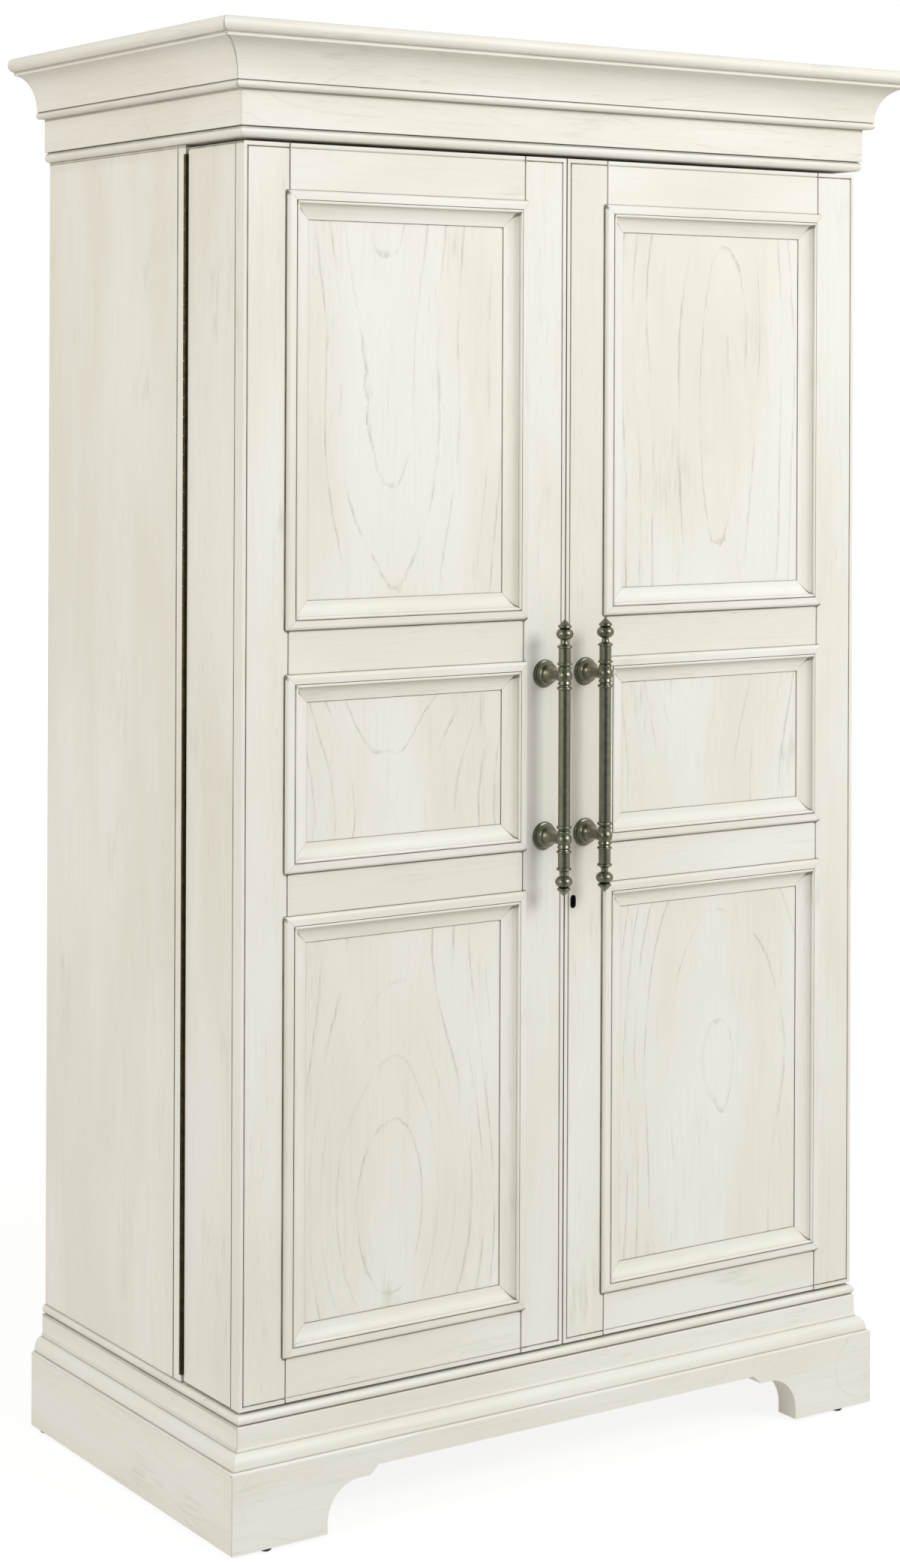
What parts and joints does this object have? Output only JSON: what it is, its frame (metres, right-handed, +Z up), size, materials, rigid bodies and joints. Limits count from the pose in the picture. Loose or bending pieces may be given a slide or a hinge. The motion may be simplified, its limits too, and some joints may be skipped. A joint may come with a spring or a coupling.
{
  "type": "armoire",
  "caption": "Armoire with deep box doors on continuous hinges, turned bar pulls, a crown cornice and a bracket-foot plinth, with shelves and a hanging rod inside.",
  "frame": {"origin": "on the floor, under the centre of the bounding box", "axes": "+Z up, the doors face -Y, +X to the right of someone who looks at the doors"},
  "size_m": [1.135, 0.6104, 1.905],
  "materials": {
    "white_washed_wood": "white wash with a grey-brown glaze, satin",
    "clear_finished_wood": "clear satin",
    "antique_pewter": "antique pewter, rubbed",
    "dark_bronze": "dark bronze plate",
    "bright_steel": "nickel plate",
    "black_nylon": "moulded nylon"
  },
  "bodies": {
    "case": {"plinth_front_board": "white_washed_wood", "plinth_left_board": "white_washed_wood", "plinth_right_board": "white_washed_wood", "plinth_back_rail": "clear_finished_wood", "glides": "black_nylon", "glue_blocks": "clear_finished_wood", "base_moulding_front": "white_washed_wood", "base_moulding_left": "white_washed_wood", "base_moulding_right": "white_washed_wood", "base_deck": "white_washed_wood", "case_bottom": "clear_finished_wood", "case_side_left": "white_washed_wood", "case_side_right": "white_washed_wood", "case_edge_strips": "white_washed_wood", "case_top": "clear_finished_wood", "case_back": "clear_finished_wood", "fixed_shelf": "clear_finished_wood", "adjustable_shelves": "clear_finished_wood", "shelf_pins": "bright_steel", "hanging_rod": "bright_steel", "rod_sockets": "bright_steel", "soffit_board": "white_washed_wood", "frieze_boards": "white_washed_wood", "crown_front": "white_washed_wood", "crown_left": "white_washed_wood", "crown_right": "white_washed_wood", "dust_board": "clear_finished_wood", "case_hinge_leaves": "dark_bronze", "hinge_pins": "dark_bronze", "bolt_keepers": "bright_steel"},
    "door_left": {"door_left_outer_stile": "white_washed_wood", "door_left_meeting_stile": "white_washed_wood", "door_left_rails": "white_washed_wood", "door_left_panels": "white_washed_wood", "door_left_mouldings": "white_washed_wood", "door_left_outer_return": "white_washed_wood", "door_left_meeting_return": "white_washed_wood", "door_left_end_returns": "white_washed_wood", "door_left_shelves": "clear_finished_wood", "door_left_hinge_leaf": "dark_bronze", "door_left_pull_bar": "antique_pewter", "door_left_pull_posts": "antique_pewter", "lock_strike": "bright_steel", "bolt_housings": "bright_steel"},
    "door_right": {"door_right_outer_stile": "white_washed_wood", "door_right_meeting_stile": "white_washed_wood", "door_right_rails": "white_washed_wood", "door_right_panels": "white_washed_wood", "door_right_mouldings": "white_washed_wood", "door_right_outer_return": "white_washed_wood", "door_right_meeting_return": "white_washed_wood", "door_right_end_returns": "white_washed_wood", "door_right_shelves": "clear_finished_wood", "door_right_hinge_leaf": "dark_bronze", "door_right_pull_bar": "antique_pewter", "door_right_pull_posts": "antique_pewter", "lock_case": "bright_steel"},
    "top_bolt": {"top_bolt": "bright_steel"},
    "bottom_bolt": {"bottom_bolt": "bright_steel"},
    "lock_bolt": {"lock_bolt": "bright_steel"}
  },
  "joints": [
    {"name": "door_left_hinge", "type": "hinge", "parent": "case", "child": "door_left", "pos_m": [-0.503, -0.09295, 0.966], "axis": [0, 0, -1], "range_deg": [0, 175]},
    {"name": "door_right_hinge", "type": "hinge", "parent": "case", "child": "door_right", "pos_m": [0.503, -0.09295, 0.966], "axis": [0, 0, 1], "range_deg": [0, 175]},
    {"name": "lock_bolt_slide", "type": "slide", "parent": "door_right", "child": "lock_bolt", "axis": [-1, 0, 0], "range_m": [0, 0.008]},
    {"name": "top_bolt_slide", "type": "slide", "parent": "door_left", "child": "top_bolt", "axis": [0, 0, 1], "range_m": [0, 0.012]},
    {"name": "bottom_bolt_slide", "type": "slide", "parent": "door_left", "child": "bottom_bolt", "axis": [0, 0, -1], "range_m": [0, 0.012]}
  ]
}
